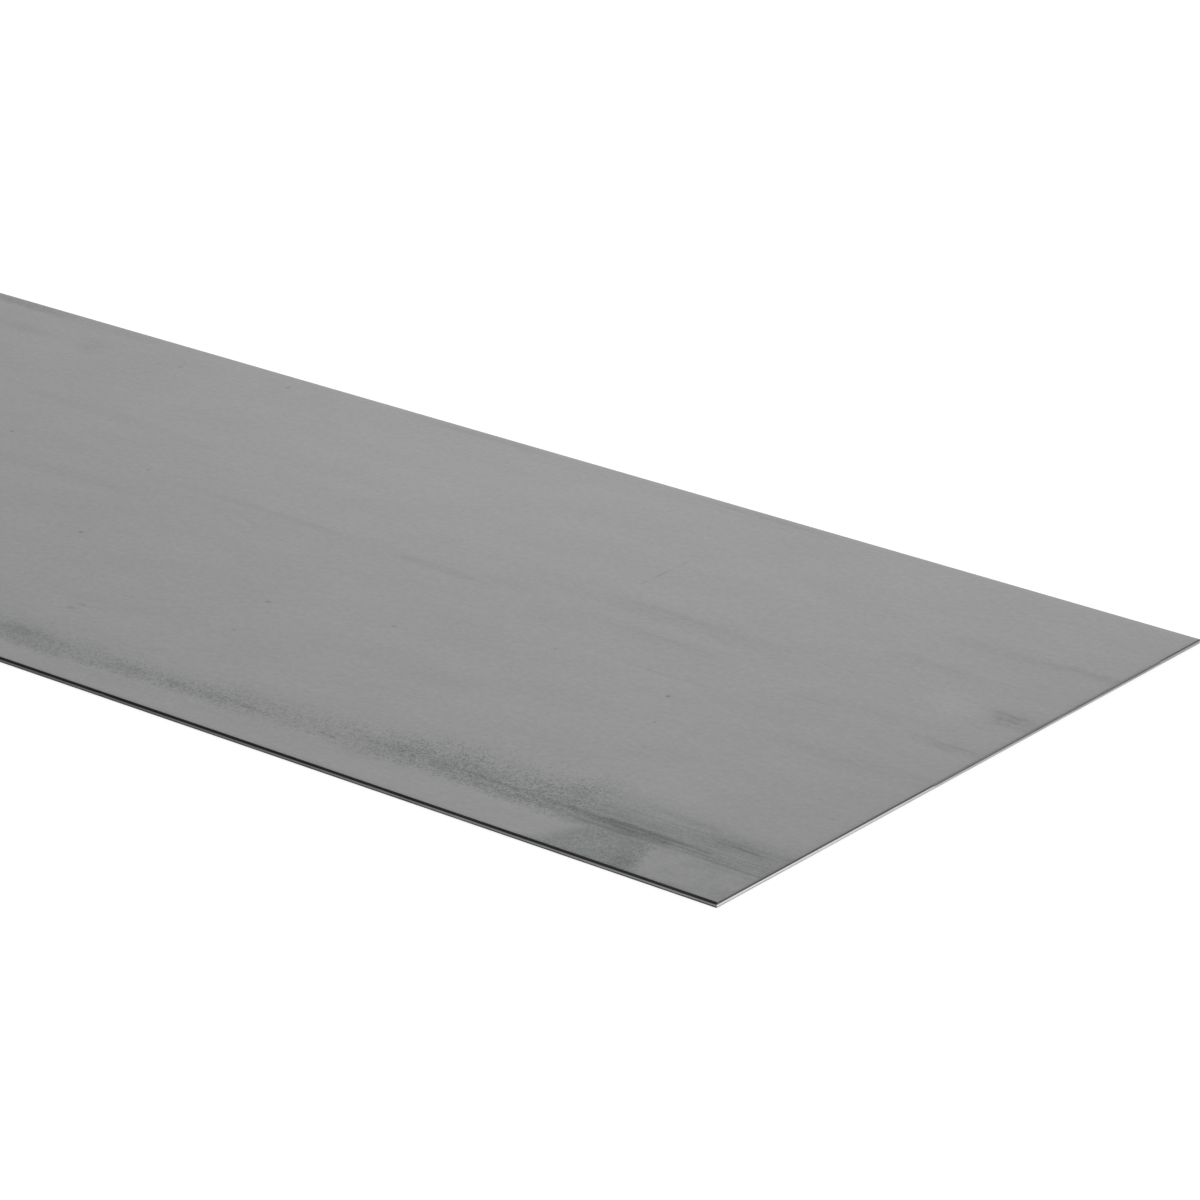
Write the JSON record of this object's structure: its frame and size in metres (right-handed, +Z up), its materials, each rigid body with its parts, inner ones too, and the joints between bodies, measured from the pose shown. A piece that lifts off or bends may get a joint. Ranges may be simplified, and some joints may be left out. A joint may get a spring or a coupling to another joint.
{
  "type": "steel sheet",
  "caption": "Flat rectangular sheet of bare cold-rolled steel with slit long edges and sheared ends, raw stock to cut, bend, weld or fasten.",
  "frame": {"origin": "centre of the sheet on its lower face, the face it lies on", "axes": "+X along the length and the rolling direction, +Y across the width, +Z up out of the upper face, the side every cut started from"},
  "size_m": [0.6096, 0.2032, 0.0012],
  "materials": {
    "bare_steel": "bare cold-rolled mill finish, satin mid grey, lightly oiled, with dark oil streaks along the rolling direction"
  },
  "bodies": {
    "root": {"sheet": "bare_steel"}
  },
  "joints": []
}
